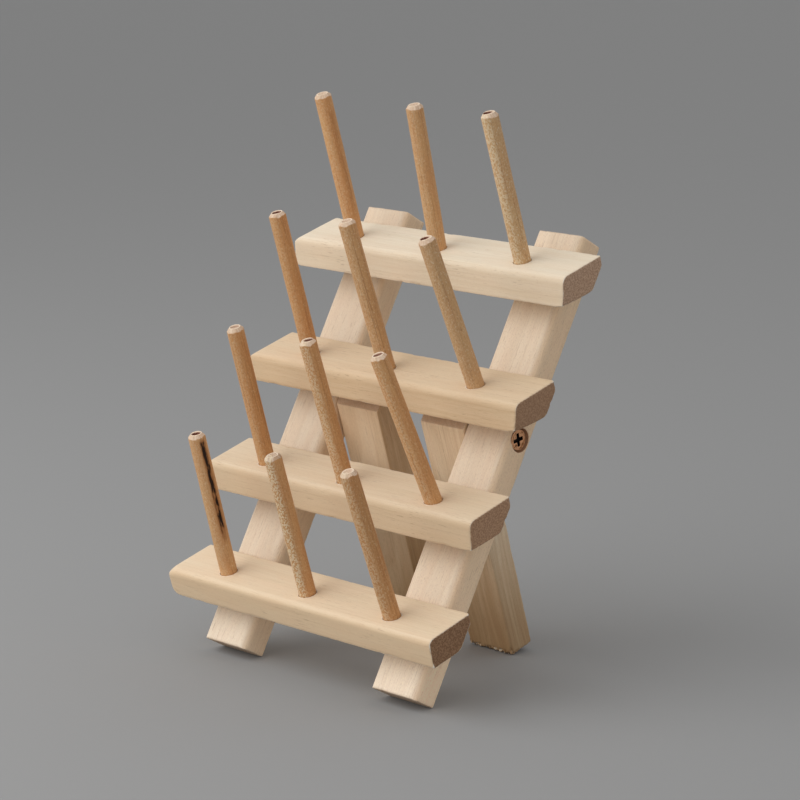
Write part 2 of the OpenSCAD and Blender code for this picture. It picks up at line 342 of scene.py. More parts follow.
class WoodEffects:
    """Shader groups that all the wooden finishes share."""

    GREEN_LOSS = 0.35
    BLUE_LOSS = 0.75
    PITH_SIDE = 31.0
    PITH_FACE = 47.0
    SWAY = Mark((70, 22, 22))
    SWAY_REACH = 9.0
    BANDS = Mark((1 / 0.62, 250, 1), 0.36, 0.68, 3.0, 0.6)
    STREAKS = Mark((48, 0.6, 0.8), 0.53, 0.71, 3.0)
    STREAK_RISE = 0.5
    FIBRE = Mark((7, 0.2, 0.2), 0.36, 0.7)
    FIBRE_RISE = 0.7
    FLECKS = Mark((4.5, 0.3, 0.32), 0.62, 0.74, 1.0)
    FLECK_PATCHES = Mark((26, 9, 9), 0.42, 0.62, least=0.25)
    MOTTLE = Mark((16, 5, 5), 0.38, 0.68, 3.0)
    END_SWAY = Mark((30, 7, 7))
    END_SWAY_REACH = 3.0
    END_RINGS = Mark((1.25, 1, 1), 0.4, 0.64)
    SPECKLE = Mark((20 / 9, 2 / 3, 2 / 3), 0.4, 0.62, 4.0, 0.7)
    RUBBED = Mark((10 / 7, 10 / 7, 10 / 7), detail=3.0)
    RUBBED_SPREAD = 0.5
    # the pale rim is partly rubbed wear and partly a painted highlight
    RIM_AND_HIGHLIGHT_RANGE = (0.6, 1.15)
    # painted shade: inner corners darken over this range of the edge measure
    CORNER_SHADE_RANGE = (-0.1, -0.5)
    NAP = Mark((0.75, 0.44, 0.44), 0.57, 0.7)
    NAP_SHADE_RANGE = (0.42, 0.32)
    BEADS = Mark((0.7, 0.6, 0.6), 0.44, 0.56, 1.0)

    def __init__(self) -> None:
        """Builds the groups."""
        self.tone = self.build_tone()
        self.figure = self.build_figure()
        self.end_grain = self.build_end_grain()
        self.wear_and_shading = self.build_wear_and_shading()
        self.fuzz = self.build_fuzz()

    def build_tone(self) -> bpy.types.NodeTree:
        """Makes a colour lighter and warmer.

        Returns:
            The group, which reads a colour and a tone: how much lighter it gets and how much warmer.
        """
        inputs = {"Colour": Kind.COLOUR, "Tone": Kind.VECTOR}
        effect = EffectGroup("tone_shift", inputs, ("Colour",), Kind.COLOUR)
        graph = effect.graph
        lighter, warmer, _ = graph.apart(effect.given["Tone"])
        green = graph.less(1.0, graph.product(warmer, self.GREEN_LOSS))
        blue = graph.less(1.0, graph.product(warmer, self.BLUE_LOSS))
        shifted = graph.vector("MULTIPLY", effect.given["Colour"], graph.together(1.0, green, blue))
        effect.give("Colour", graph.scaled(shifted, graph.total(lighter, 1.0)))
        return effect.tree

    def from_pith(self, graph: Graph, grain: Value, sway: Mark, reach: float) -> Socket:
        """Measures how far a spot lies from the pith of the tree.

        Args:
            graph: Graph that takes the nodes.
            grain: Grain coordinate of the spot.
            sway: Waves of the rings.
            reach: Height of the waves.

        Returns:
            The distance, in millimetres.
        """
        _, side, face = graph.apart(grain)
        across = graph.together(0.0, graph.total(side, self.PITH_SIDE), graph.total(face, self.PITH_FACE))
        return graph.total(graph.vector("LENGTH", across), graph.product(graph.pattern(grain, sway), reach))

    def build_figure(self) -> bpy.types.NodeTree:
        """Makes the figure of long grain.

        Returns:
            The group, which reads a grain coordinate in millimetres: along, side and face.
        """
        effect = EffectGroup("wood_figure", {"Grain": Kind.VECTOR},
                             ("Bands", "Streaks", "Fibre", "Flecks", "Mottle", "Height"))
        graph = effect.graph
        grain = effect.given["Grain"]
        ring = self.from_pith(graph, grain, self.SWAY, self.SWAY_REACH)
        effect.give("Bands", graph.marks(graph.together(ring, graph.apart(grain)[0], 0.0), self.BANDS))
        streaks = graph.pattern(grain, self.STREAKS)
        effect.give("Streaks", graph.shown(streaks, self.STREAKS))
        fibre = graph.pattern(grain, self.FIBRE)
        effect.give("Fibre", graph.shown(fibre, self.FIBRE))
        flecks = graph.marks(grain, self.FLECKS)
        effect.give("Flecks", graph.product(flecks, graph.marks(grain, self.FLECK_PATCHES)))
        effect.give("Mottle", graph.marks(grain, self.MOTTLE))
        raised = graph.product(fibre, self.FIBRE_RISE)
        effect.give("Height", graph.total(raised, graph.product(streaks, self.STREAK_RISE)))
        return effect.tree

    def build_end_grain(self) -> bpy.types.NodeTree:
        """Makes the rings and the speckle of a sawn end.

        Returns:
            The group, which reads the same grain coordinate.
        """
        effect = EffectGroup("end_grain", {"Grain": Kind.VECTOR}, ("Rings", "Speckle", "Height"))
        graph = effect.graph
        grain = effect.given["Grain"]
        ring = self.from_pith(graph, grain, self.END_SWAY, self.END_SWAY_REACH)
        effect.give("Rings", graph.marks(graph.together(ring, 0.0, 0.0), self.END_RINGS))
        speckle = graph.pattern(grain, self.SPECKLE)
        effect.give("Speckle", graph.shown(speckle, self.SPECKLE))
        effect.give("Height", speckle)
        return effect.tree

    def build_wear_and_shading(self) -> bpy.types.NodeTree:
        """Makes the pale rim of rubbed edges, partly a painted highlight, and the painted shade of inner
        corners.

        Returns:
            The group, which reads how far a spot stands out and the grain coordinate.
        """
        effect = EffectGroup("edge_wear_and_shading", {"Edge": Kind.NUMBER, "Grain": Kind.VECTOR}, ("RimAndHighlight", "CornerShade"))
        graph = effect.graph
        edge = effect.given["Edge"]
        rubbed = graph.less(graph.pattern(effect.given["Grain"], self.RUBBED), NOISE_MIDDLE)
        stands = graph.total(edge, graph.product(rubbed, self.RUBBED_SPREAD))
        # pale rim: partly rubbed wear, partly a painted highlight
        effect.give("RimAndHighlight", graph.smooth(stands, *self.RIM_AND_HIGHLIGHT_RANGE))
        # painted shade of inner corners
        effect.give("CornerShade", graph.smooth(edge, *self.CORNER_SHADE_RANGE))
        return effect.tree

    def build_fuzz(self) -> bpy.types.NodeTree:
        """Makes the light and dark specks of fuzzy, hardly sanded wood, and the beads that a peg's painted
        sheen shows.

        Returns:
            The group, which reads the grain coordinate.
        """
        effect = EffectGroup("fuzz", {"Grain": Kind.VECTOR}, ("Light", "Dark", "Beads", "Height"))
        graph = effect.graph
        grain = effect.given["Grain"]
        nap = graph.pattern(grain, self.NAP)
        effect.give("Light", graph.shown(nap, self.NAP))
        effect.give("Dark", graph.smooth(nap, *self.NAP_SHADE_RANGE))
        effect.give("Beads", graph.marks(grain, self.BEADS))
        effect.give("Height", nap)
        return effect.tree


class Surface:
    """A material with one shader, whose inputs are fed by a graph."""

    def __init__(self, name: str) -> None:
        """Makes the material and its shader.

        Args:
            name: Name of the material.
        """
        self.material = bpy.data.materials.new(name)
        self.material.use_nodes = True
        self.material.node_tree.nodes.clear()
        self.graph = Graph(self.material.node_tree)
        self.shader = self.graph.add("ShaderNodeBsdfPrincipled")
        self.graph.add("ShaderNodeOutputMaterial", {"Surface": self.shader.outputs["BSDF"]})

    def give(self, name: str, value: Value) -> None:
        """Feeds one of the shader's inputs."""
        self.graph.feed(self.shader.inputs[name], value)

    def raise_by(self, height: Value, distance: float, strength: float) -> None:
        """Raises the surface by a pattern, over a distance and with a strength."""
        inputs = {"Height": height, "Distance": distance, "Strength": strength}
        self.give("Normal", self.graph.add("ShaderNodeBump", inputs).outputs["Normal"])


@dataclass(frozen=True)
class WoodFinish:
    """A bare wooden finish: its colours and how strongly each mark shows."""

    name: str
    pale: Colour
    deep: Colour
    streak: Colour
    fleck: Colour
    blush: Colour
    # pale rim colour: partly rubbed wear, partly a painted highlight
    rim_and_highlight: Colour
    end_pale: Colour
    end_deep: Colour
    # pale fibre colour, also used for the painted sheen on the lamp side of pegs
    pale_fibre_and_sheen: Colour = tint(234, 216, 182)
    # the scorch and stain colours serve real streaks on pegs and painted shade in countersinks
    scorch_and_shade: Colour = tint(150, 92, 44)
    stain_and_shade: Colour = tint(34, 18, 8)
    # colour of the dark hollows in peg tips: the pith's colour deepened as painted shade
    pit: Colour = tint(110, 48, 28)
    bands_shown: float = 0.5
    streaks_shown: float = 0.35
    fibre_shown: float = 0.25
    flecks_shown: float = 0.42
    blush_shown: float = 0.3
    rim_and_highlight_shown: float = 0.75
    # share of painted shade in inner corners
    corner_shade_shown: float = 0.5
    rings_shown: float = 0.2
    speckle_shown: float = 0.6
    fuzz_shown: float = 0.15
    scorch_and_shade_range: tuple[float, ...] = (0.0, 0.7, 0.0, 0.85)
    stain_and_shade_range: tuple[float, ...] = (0.48, 0.82)
    roughness: float = 0.62
    roughness_spread: float = 0.2
    bump_height: float = 0.12 * MM
    bump_strength: float = 0.5
    gloss: float = 0.3

    def material(self, effects: WoodEffects) -> bpy.types.Material:
        """Builds the finish's material.

        Args:
            effects: Groups that the wooden finishes share.

        Returns:
            The material.
        """
        surface = Surface(self.name)
        graph = surface.graph
        grain = graph.attribute("grain", "Vector")
        end = graph.attribute("end")
        # the tone attributes carry per-piece tints and painted light and shade
        tone = graph.mix(end, graph.attribute("tone", "Vector"), graph.attribute("end_tone", "Vector"))
        fuzzier = graph.apart(tone)[2]
        figure = graph.use(effects.figure, Grain=grain)
        ends = graph.use(effects.end_grain, Grain=grain)
        wear_and_shading = graph.use(effects.wear_and_shading, Edge=graph.attribute("edge"), Grain=grain)
        fuzz = graph.use(effects.fuzz, Grain=grain)
        fuzz_share = graph.total(fuzzier, self.fuzz_shown)
        planed = graph.layered(self.pale, [
            (graph.product(figure["Bands"], self.bands_shown), self.deep),
            (graph.product(figure["Streaks"], self.streaks_shown), self.streak),
            (graph.product(figure["Fibre"], self.fibre_shown), self.deep),
            (graph.product(figure["Flecks"], self.flecks_shown), self.fleck),
            (graph.product(figure["Mottle"], self.blush_shown), self.blush),
            (graph.math("MULTIPLY", fuzz["Dark"], fuzz_share, True), self.streak),
            (graph.math("MULTIPLY", fuzz["Light"], fuzz_share, True), self.pale_fibre_and_sheen),
        ])
        speckle_share = graph.total(fuzzier, self.speckle_shown)
        speckle = graph.product(graph.less(ends["Speckle"], NOISE_MIDDLE), speckle_share)
        sawn = graph.layered(self.end_deep, [
            (graph.math("ADD", speckle, NOISE_MIDDLE, True), self.end_pale),
            (graph.product(ends["Rings"], self.rings_shown), self.fleck),
        ])
        shaded_tone = graph.use(effects.tone, Colour=graph.mix(end, planed, sawn), Tone=tone)["Colour"]
        stain_and_shade_share = graph.attribute("stain_and_shade")
        surface.give("Base Color", graph.layered(shaded_tone, [
            # pale rim of edges, partly a painted highlight
            (graph.product(wear_and_shading["RimAndHighlight"], self.rim_and_highlight_shown), self.rim_and_highlight),
            # painted shade: inner corners darkened towards the fleck colour
            (graph.product(wear_and_shading["CornerShade"], self.corner_shade_shown), self.fleck),
            # painted sheen: pale beads on the side of each peg that faces the lamp
            (graph.product(graph.attribute("lit_sheen"), fuzz["Beads"]), self.pale_fibre_and_sheen),
            # dark hollows in peg tips: pith colour and painted shade
            (graph.attribute("pit"), self.pit),
            # real streaks on pegs, and painted shade in the countersinks
            (graph.smooth(stain_and_shade_share, *self.scorch_and_shade_range), self.scorch_and_shade),
            (graph.smooth(stain_and_shade_share, *self.stain_and_shade_range), self.stain_and_shade),
        ]))
        uneven = graph.product(graph.less(figure["Mottle"], NOISE_MIDDLE), self.roughness_spread)
        surface.give("Roughness", graph.total(uneven, self.roughness))
        surface.give("Specular IOR Level", self.gloss)
        height = graph.total(figure["Height"], graph.product(fuzz["Height"], fuzz_share))
        height = graph.total(height, graph.product(ends["Height"], end))
        surface.raise_by(height, self.bump_height, self.bump_strength)
        return surface.material


@dataclass(frozen=True)
class ScrewFinish:
    """Browned brass plating, rubbed bright at its edges, with painted shade in the recesses below the heads'
    faces.
    """

    name: str = "browned_screw"
    bright: Colour = tint(236, 182, 138)
    brown: Colour = tint(150, 94, 48)
    # painted shade of the recesses below the heads' faces
    dark: Colour = tint(22, 14, 8)
    clouds: Mark = Mark((10 / 11, 10 / 11, 10 / 11), 0.44, 0.6, 3.0, 0.6)
    rubbed_range: tuple[float, ...] = (0.2, 0.9)
    scratches: Mark = Mark((1 / 6, 1 / 6, 1), detail=3.0)
    scratch_roughness: float = 0.3
    roughness: float = 0.42
    metal: float = 0.85
    bump_height: float = 0.05 * MM
    bump_strength: float = 0.4

    def material(self) -> bpy.types.Material:
        """Builds the finish's material.

        Returns:
            The material.
        """
        surface = Surface(self.name)
        graph = surface.graph
        grain = graph.attribute("grain", "Vector")
        clouds = graph.pattern(grain, self.clouds)
        surface.give("Base Color", graph.layered(self.bright, [
            (graph.shown(clouds, self.clouds), self.brown),
            (graph.smooth(graph.attribute("edge"), *self.rubbed_range), self.bright),
            # painted shade in the recesses
            (graph.attribute("stain_and_shade"), self.dark),
        ]))
        surface.give("Metallic", self.metal)
        scratched = graph.product(graph.pattern(grain, self.scratches), self.scratch_roughness)
        surface.give("Roughness", graph.total(scratched, self.roughness))
        surface.raise_by(clouds, self.bump_height, self.bump_strength)
        return surface.material


class GeometryTool:
    """A geometry tree with named inputs that works on one object at a time."""

    def __init__(self, name: str) -> None:
        """Makes the tree with its geometry sockets.

        Args:
            name: Name of the tree.
        """
        self.tree = bpy.data.node_groups.new(name, "GeometryNodeTree")
        self.graph = Graph(self.tree)
        self.keys: dict[str, str] = {}
        for way in ("INPUT", "OUTPUT"):
            self.tree.interface.new_socket(name="Geometry", in_out=way, socket_type=Kind.SHAPE.value)
        self.source = self.graph.add("NodeGroupInput")
        self.target = self.graph.add("NodeGroupOutput")

    def take(self, kind: Kind, *names: str) -> list[Socket]:
        """Adds named inputs.

        Args:
            kind: Kind of the inputs.
            names: Their names.

        Returns:
            The sockets that carry them in the tree.
        """
        for name in names:
            made = self.tree.interface.new_socket(name=name, in_out="INPUT", socket_type=kind.value)
            self.keys[name] = made.identifier
        return [self.source.outputs[name] for name in names]

    def store(self, shape: Socket, kind: Stored, values: dict[str, Value]) -> Socket:
        """Stores values on the points of a shape.

        Args:
            shape: The shape.
            kind: Kind of the values.
            values: Each value by its name.

        Returns:
            The shape with the values on it.
        """
        for name, value in values.items():
            inputs = {"Geometry": shape, "Name": name, "Value": value}
            node = self.graph.add("GeometryNodeStoreNamedAttribute", inputs, data_type=kind.value)
            shape = node.outputs["Geometry"]
        return shape

    def stored(self, name: str, kind: Stored) -> Socket:
        """Reads a value that was stored on the points."""
        node = self.graph.add("GeometryNodeInputNamedAttribute", {"Name": name}, data_type=kind.value)
        return live(node.outputs)

    def moved(self, shape: Socket, **way: Value) -> Socket:
        """Moves the points of a shape to a Position or by an Offset."""
        return self.graph.add("GeometryNodeSetPosition", {"Geometry": shape, **way}).outputs["Geometry"]

    def close(self, shape: Socket) -> None:
        """Ends the tree with smooth shading, real instances and the material.

        Args:
            shape: The finished shape.
        """
        for kind in ("GeometryNodeSetShadeSmooth", "GeometryNodeRealizeInstances"):
            shape = self.graph.add(kind, {"Geometry": shape}).outputs["Geometry"]
        material = self.take(Kind.MATERIAL, "Material")[0]
        dressed = self.graph.add("GeometryNodeSetMaterial", {"Geometry": shape, "Material": material})
        self.graph.feed(self.target.inputs["Geometry"], dressed.outputs["Geometry"])

    def attach(self, piece: bpy.types.Object, values: dict[str, Any]) -> None:
        """Puts the tree on an object with its own values.

        Args:
            piece: The object.
            values: Value of each named input.
        """
        modifier = piece.modifiers.new(self.tree.name, "NODES")
        modifier.node_group = self.tree
        for name, value in values.items():
            modifier[self.keys[name]] = value


class SandingTool(GeometryTool):
    """Sands a finely meshed board: soft waves, rubbed edges and the values that the finishes read."""

    END_RANGE = (0.55, 0.9)
    FACING_RANGE = (0.3, 0.9)
    EDGE_RANGE = (0.1, 0.6)
    WAVES = Mark((30, 7, 7))
    DENTS = Mark((5, 2.2, 2.2), 0.5, 0.75, 3.0)
    TORN = Mark((3, 0.8, 0.8), 0.46, 0.62, 3.0)
    SPLINTERS = Mark((2.4, 0.8, 0.8), 0.53, 0.6)
    BARED_SHARE = 0.5

    def __init__(self) -> None:
        """Builds the tree."""
        super().__init__("sanding")
        graph = self.graph
        along, side, seed, end_tone = self.take(Kind.VECTOR, "Along", "Side", "Seed", "End tone")
        self.position = graph.add("GeometryNodeInputPosition").outputs[0]
        self.normal = graph.add("GeometryNodeInputNormal").outputs[0]
        self.height = graph.apart(self.position)[2]
        ways = (along, side, graph.vector("CROSS_PRODUCT", along, side))
        in_board = graph.together(*(graph.vector("DOT_PRODUCT", self.position, way) for way in ways))
        grain = graph.vector("ADD", graph.scaled(in_board, 1 / MM), seed)
        endways = graph.math("ABSOLUTE", graph.vector("DOT_PRODUCT", self.normal, along))
        end = graph.smooth(endways, *self.END_RANGE)
        # the tone also carries painted light and shade by facing and height
        vectors = {"grain": grain, "tone": self.shaded_tone(side), "end_tone": end_tone}
        shape = self.store(self.source.outputs["Geometry"], Stored.VECTOR, vectors)
        shape = self.store(shape, Stored.NUMBER, {"edge": self.edge(), "end": end})
        inward, edge = self.worn()
        shape = self.store(shape, Stored.NUMBER, {"edge": edge})
        self.close(self.moved(shape, Offset=graph.scaled(self.normal, graph.product(inward, -1.0))))

    def shaded_tone(self, side: Value) -> Socket:
        """Paints light and shade into the board's tone, on the faces towards one side and towards the floor.

        Args:
            side: Direction of the side.

        Returns:
            The tone of each point.
        """
        graph = self.graph
        tone, side_shading, low_shading = self.take(Kind.VECTOR, "Tone", "Side shading", "Low shading")
        low_height = self.take(Kind.NUMBER, "Low height")[0]
        facing = graph.smooth(graph.vector("DOT_PRODUCT", self.normal, side), *self.FACING_RANGE)
        tone = graph.vector("ADD", tone, graph.scaled(side_shading, facing))
        return graph.vector("ADD", tone, graph.scaled(low_shading, graph.smooth(self.height, low_height, 0.0)))

    def edge(self) -> Socket:
        """Measures how far each point stands out from what lies round it.

        Returns:
            The measure, 1 on a full edge and below 0 in an inner corner.
        """
        graph = self.graph
        blur = graph.add("GeometryNodeBlurAttribute", data_type="FLOAT_VECTOR")
        graph.feed(live(blur.inputs, "VECTOR"), self.position)
        graph.feed(blur.inputs["Iterations"], self.take(Kind.WHOLE, "Blur steps")[0])
        step = graph.vector("SUBTRACT", self.position, live(blur.outputs))
        full = self.take(Kind.NUMBER, "Edge full")[0]
        return graph.ratio(graph.vector("DOT_PRODUCT", step, self.normal), full)

    def worn(self) -> tuple[Socket, Socket]:
        """Wears the board: waves of sanding, dents along the edges and a frayed foot.

        Returns:
            The depth that each point loses, and the edges with the bared splinters of the foot.
        """
        graph = self.graph
        wave_depth, dent_depth, foot_depth, foot_height = self.take(
            Kind.NUMBER, "Wave depth", "Dent depth", "Foot depth", "Foot height")
        grain = self.stored("grain", Stored.VECTOR)
        edge = self.stored("edge", Stored.NUMBER)
        on_edge = graph.smooth(edge, *self.EDGE_RANGE)
        waves = graph.product(graph.pattern(grain, self.WAVES), wave_depth)
        dented = graph.product(graph.marks(grain, self.DENTS), on_edge, dent_depth)
        low = graph.smooth(self.height, foot_height, 0.0)
        frayed = graph.product(graph.marks(grain, self.TORN), low, on_edge, foot_depth)
        lowest = graph.smooth(self.height, graph.product(foot_height, self.BARED_SHARE), 0.0)
        bared = graph.product(graph.marks(grain, self.SPLINTERS), lowest, graph.ratio(foot_depth, MM))
        return graph.total(waves, dented, frayed), graph.total(edge, bared)


class DowelTool(GeometryTool):
    """Turns one peg: a slightly uneven dowel with a chamfered, rough-sawn tip."""

    TURN_STEPS = 60
    LENGTH_STEPS = 150
    TIP_RINGS = 10
    TIP_CROWDING = 1.7
    FACETS = Mark((1, 1, 1), 0.3, 0.7, 1.0, least=0.6)
    FACETS_ROUND = 1.4
    BUMPS = Mark((14, 2.4, 2.4), detail=3.0)
    NICKS = Mark((3, 1.1, 1.1), 0.6, 0.8, 3.0)
    NICK_SHARE = 0.8
    TIP_RANGE = (0.0, 0.12)
    CAP_RANGE = (0.9, 1.0)
    CRUMBS = Mark((2 / 3, 2 / 3, 2 / 3), detail=4.0, rough=0.65)
    HOLLOW_LONG = 0.85
    HOLLOW_WIDE = 0.52
    HOLLOW_RAGGED = 1.2
    HOLLOW_RANGE = (1.6, 1.2)
    # painted shade of the hollow reaches past it, so its lit wall darkens too
    SHADE_RANGE = (1.9, 1.5)
    DARK_DEPTH = 0.8 * MM
    CAP_RIM_RANGE = (0.7, 0.95, 0.0, 1.3)
    RAGGED_STREAK = Mark((9, 0.8, 0.8), detail=3.0)
    RAGGED_SHARE = 0.12
    STREAK_START = (-0.12, 0.05)
    STREAK_STOP = (0.02, -0.03)
    STREAK_BREAKS = Mark((4.5, 0.9, 0.9), 0.36, 0.6, 4.0, least=0.2)
    BORDER_FULL = 1.03
    BORDER_SHARE = 0.4
    CORE_RANGE = (1.0, 1.07)
    # painted sheen on the lamp side of the peg
    SHEEN_RANGE = (0.3, 0.8)

    def __init__(self) -> None:
        """Builds the tree."""
        super().__init__("dowel")
        graph = self.graph
        base, across, back, upward, seed, tone, end_tone = self.take(
            Kind.VECTOR, "Base", "Across", "Back", "Upward", "Seed", "Tone", "End tone")
        radius, stand, sink, chamfer, narrowing, wobble = self.take(
            Kind.NUMBER, "Radius", "Stand", "Sink", "Chamfer", "Narrowing", "Wobble")
        sheen_turn, sheen_shown = self.take(Kind.NUMBER, "Sheen turn", "Sheen shown")
        length = graph.total(stand, sink)
        rod = graph.add("GeometryNodeMeshCylinder", {
            "Vertices": self.TURN_STEPS, "Side Segments": self.LENGTH_STEPS, "Fill Segments": self.TIP_RINGS,
            "Radius": radius, "Depth": length}, fill_type="TRIANGLE_FAN")
        x, y, z = graph.apart(graph.add("GeometryNodeInputPosition").outputs[0])
        share = graph.math("ADD", graph.ratio(z, length), 0.5, True)
        crowded = graph.math("POWER", graph.math("SUBTRACT", 1.0, share, True), self.TIP_CROWDING)
        self.height = graph.less(graph.product(graph.less(1.0, crowded), length), sink)
        flat = graph.together(graph.ratio(x, radius), graph.ratio(y, radius), 0.0)
        self.out = graph.vector("LENGTH", flat)
        self.unit = graph.vector("NORMALIZE", flat)
        self.grain = graph.vector("ADD", graph.scaled(graph.together(self.height, x, y), 1 / MM), seed)

        round_at = graph.vector("ADD", graph.scaled(self.unit, self.FACETS_ROUND), seed)
        shaved = graph.product(chamfer, graph.marks(round_at, self.FACETS))
        past = graph.math("DIVIDE", graph.less(self.height, graph.less(stand, shaved)), shaved, True)
        narrow = graph.product(past, graph.ratio(narrowing, radius))
        nicks = graph.product(graph.marks(self.grain, self.NICKS), self.NICK_SHARE)
        uneven = graph.product(graph.total(graph.pattern(self.grain, self.BUMPS), nicks), wobble)
        slimmer = graph.less(1.0, narrow, graph.ratio(uneven, radius))

        lost, pit, rim_and_highlight = self.worn_tip(past)
        # painted sheen: beads pale on the side facing the lamp
        sheen_side = graph.smooth(self.toward(sheen_turn, 1.0)[0], *self.SHEEN_RANGE)
        numbers = {"stain_and_shade": self.streaked(graph.ratio(self.height, stand)), "pit": pit, "edge": rim_and_highlight,
                   "lit_sheen": graph.product(sheen_side, sheen_shown), "end": graph.smooth(past, *self.TIP_RANGE)}
        vectors = {"tone": tone, "end_tone": end_tone, "grain": self.grain}
        shape = self.store(rod.outputs["Mesh"], Stored.NUMBER, numbers)
        shape = self.store(shape, Stored.VECTOR, vectors)
        placed = graph.vector("ADD", base, graph.scaled(across, graph.product(x, slimmer)))
        placed = graph.vector("ADD", placed, graph.scaled(back, graph.product(y, slimmer)))
        placed = graph.vector("ADD", placed, graph.scaled(upward, graph.less(self.height, lost)))
        self.close(self.moved(shape, Position=placed))

    def toward(self, turn: Value, out: Value) -> tuple[Socket, Socket]:
        """Measures points round the peg from one direction.

        Args:
            turn: The direction, as an angle from the peg's X.
            out: Distance of the point from the axis, as a share of the radius.

        Returns:
            How far the point lies towards that direction, and how far beside it.
        """
        graph = self.graph
        cosine = graph.math("COSINE", turn)
        sine = graph.math("SINE", turn)
        heading = graph.together(cosine, sine, 0.0)
        sideways = graph.together(graph.product(sine, -1.0), cosine, 0.0)
        ahead = graph.product(graph.vector("DOT_PRODUCT", self.unit, heading), out)
        aside = graph.product(graph.vector("DOT_PRODUCT", self.unit, sideways), out)
        return ahead, aside

    def worn_tip(self, past: Value) -> tuple[Socket, Socket, Socket]:
        """Roughens and hollows the sawn face of the tip.

        Args:
            past: How far a point lies up the chamfer, 1 on the sawn face.

        Returns:
            The height that is lost, the darkness of the hollow, partly the pith's colour and partly painted
            shade, and the pale rim of the face, partly a painted highlight.
        """
        graph = self.graph
        rough_tip, depth, turn, shift = self.take(
            Kind.NUMBER, "Rough tip", "Hollow depth", "Hollow turn", "Hollow shift")
        on_cap = graph.smooth(past, *self.CAP_RANGE)
        crumbs = graph.pattern(self.grain, self.CRUMBS)
        ahead, aside = self.toward(turn, self.out)
        ahead = graph.ratio(graph.less(ahead, shift), self.HOLLOW_LONG)
        aside = graph.ratio(aside, self.HOLLOW_WIDE)
        ragged = graph.total(graph.product(ahead, ahead), graph.product(aside, aside),
                             graph.product(crumbs, self.HOLLOW_RAGGED))
        pit = graph.product(graph.smooth(ragged, *self.HOLLOW_RANGE), on_cap)
        lost = graph.total(graph.product(crumbs, rough_tip, on_cap), graph.product(pit, depth))
        # painted shade: the hollow and its wall, darker the deeper the hollow
        shade = graph.product(graph.smooth(ragged, *self.SHADE_RANGE), on_cap)
        dark = graph.product(shade, graph.smooth(depth, 0.0, self.DARK_DEPTH))
        # the pale rim of the sawn face is partly a painted highlight
        return lost, dark, graph.product(on_cap, graph.smooth(self.out, *self.CAP_RIM_RANGE))

    def streaked(self, up: Value) -> Socket:
        """Draws the dark streak that runs up one side of a peg.

        Args:
            up: Height of the point, as a share of the peg's.

        Returns:
            How dark the streak is, from its brown border to its black core.
        """
        graph = self.graph
        turn, shown = self.take(Kind.NUMBER, "Stain turn", "Stain shown")
        first, last, width = graph.apart(self.take(Kind.VECTOR, "Stain span")[0])
        ragged = graph.product(graph.pattern(self.grain, self.RAGGED_STREAK), self.RAGGED_SHARE)
        near = graph.total(self.toward(turn, 1.0)[0], ragged)
        starts = graph.smooth(up, *(graph.total(first, step) for step in self.STREAK_START))
        stops = graph.smooth(up, *(graph.total(last, step) for step in self.STREAK_STOP))
        border = graph.smooth(near, graph.less(self.BORDER_FULL, width), self.BORDER_FULL)
        unbroken = graph.marks(self.grain, self.STREAK_BREAKS)
        core = graph.product(graph.smooth(near, *self.CORE_RANGE), unbroken, 1.0 - self.BORDER_SHARE)
        streak = graph.total(graph.product(border, self.BORDER_SHARE), core)
        return graph.product(starts, stops, streak, shown)


def new_object(name: str, data: bpy.types.ID) -> bpy.types.Object:
    """Puts a new object into the scene.

    Args:
        name: Name of the object.
        data: Its mesh, lamp or camera.

    Returns:
        The object.
    """
    made = bpy.data.objects.new(name, data)
    bpy.context.scene.collection.objects.link(made)
    return made


def bake(piece: bpy.types.Object, sharp_angle: float = math.radians(100)) -> None:
    """Turns an object with modifiers into a plain mesh.

    Args:
        piece: The object.
        sharp_angle: Edges that turn more than this stay crisp.
    """
    depsgraph = bpy.context.evaluated_depsgraph_get()
    mesh = bpy.data.meshes.new_from_object(piece.evaluated_get(depsgraph), preserve_all_data_layers=True,
                                           depsgraph=depsgraph)
    piece.modifiers.clear()
    piece.data = mesh
    mesh.name = piece.name
    mesh.set_sharp_from_angle(angle=sharp_angle)


def point_array(piece: bpy.types.Object) -> np.ndarray:
    """Lists the points of a piece.

    Args:
        piece: The piece.

    Returns:
        One row for each point.
    """
    points = np.zeros(3 * len(piece.data.vertices))
    piece.data.vertices.foreach_get("co", points)
    return points.reshape(-1, 3)


def mark_stain_and_shade(piece: bpy.types.Object, stain_and_shade: np.ndarray) -> None:
    """Stores each point's share of stain and of painted shade in recesses."""
    piece.data.attributes.new("stain_and_shade", Stored.NUMBER.value, "POINT").data.foreach_set("value", stain_and_shade)


def fillet(distance: np.ndarray, radius: float, share: float = 0.6) -> np.ndarray:
    """Tells how much a round takes off a face at a distance from its edge.

    Args:
        distance: Distance of each point from the edge.
        radius: Radius of the round.
        share: Share of the round that is taken off.

    Returns:
        The depth taken off.
    """
    short = np.clip(radius - distance, 0.0, radius)
    return share * (radius - np.sqrt(radius ** 2 - short ** 2))


def stepped(start: Triple, step: Triple, number: int) -> Triple:
    """Moves a start by a number of steps, so that each piece has a stretch of grain of its own."""
    return tuple(value + number * change for value, change in zip(start, step))


def place(piece: bpy.types.Object, body: str, node: str) -> None:
    """Hands a finished piece to the frame.

    Args:
        piece: The finished object.
        body: CAD body that it rides on.
        node: CAD node that it stands for.
    """
    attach(piece, body)
    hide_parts(node)
    log.info("%s on %s, %d faces", piece.name, body, len(piece.data.polygons))


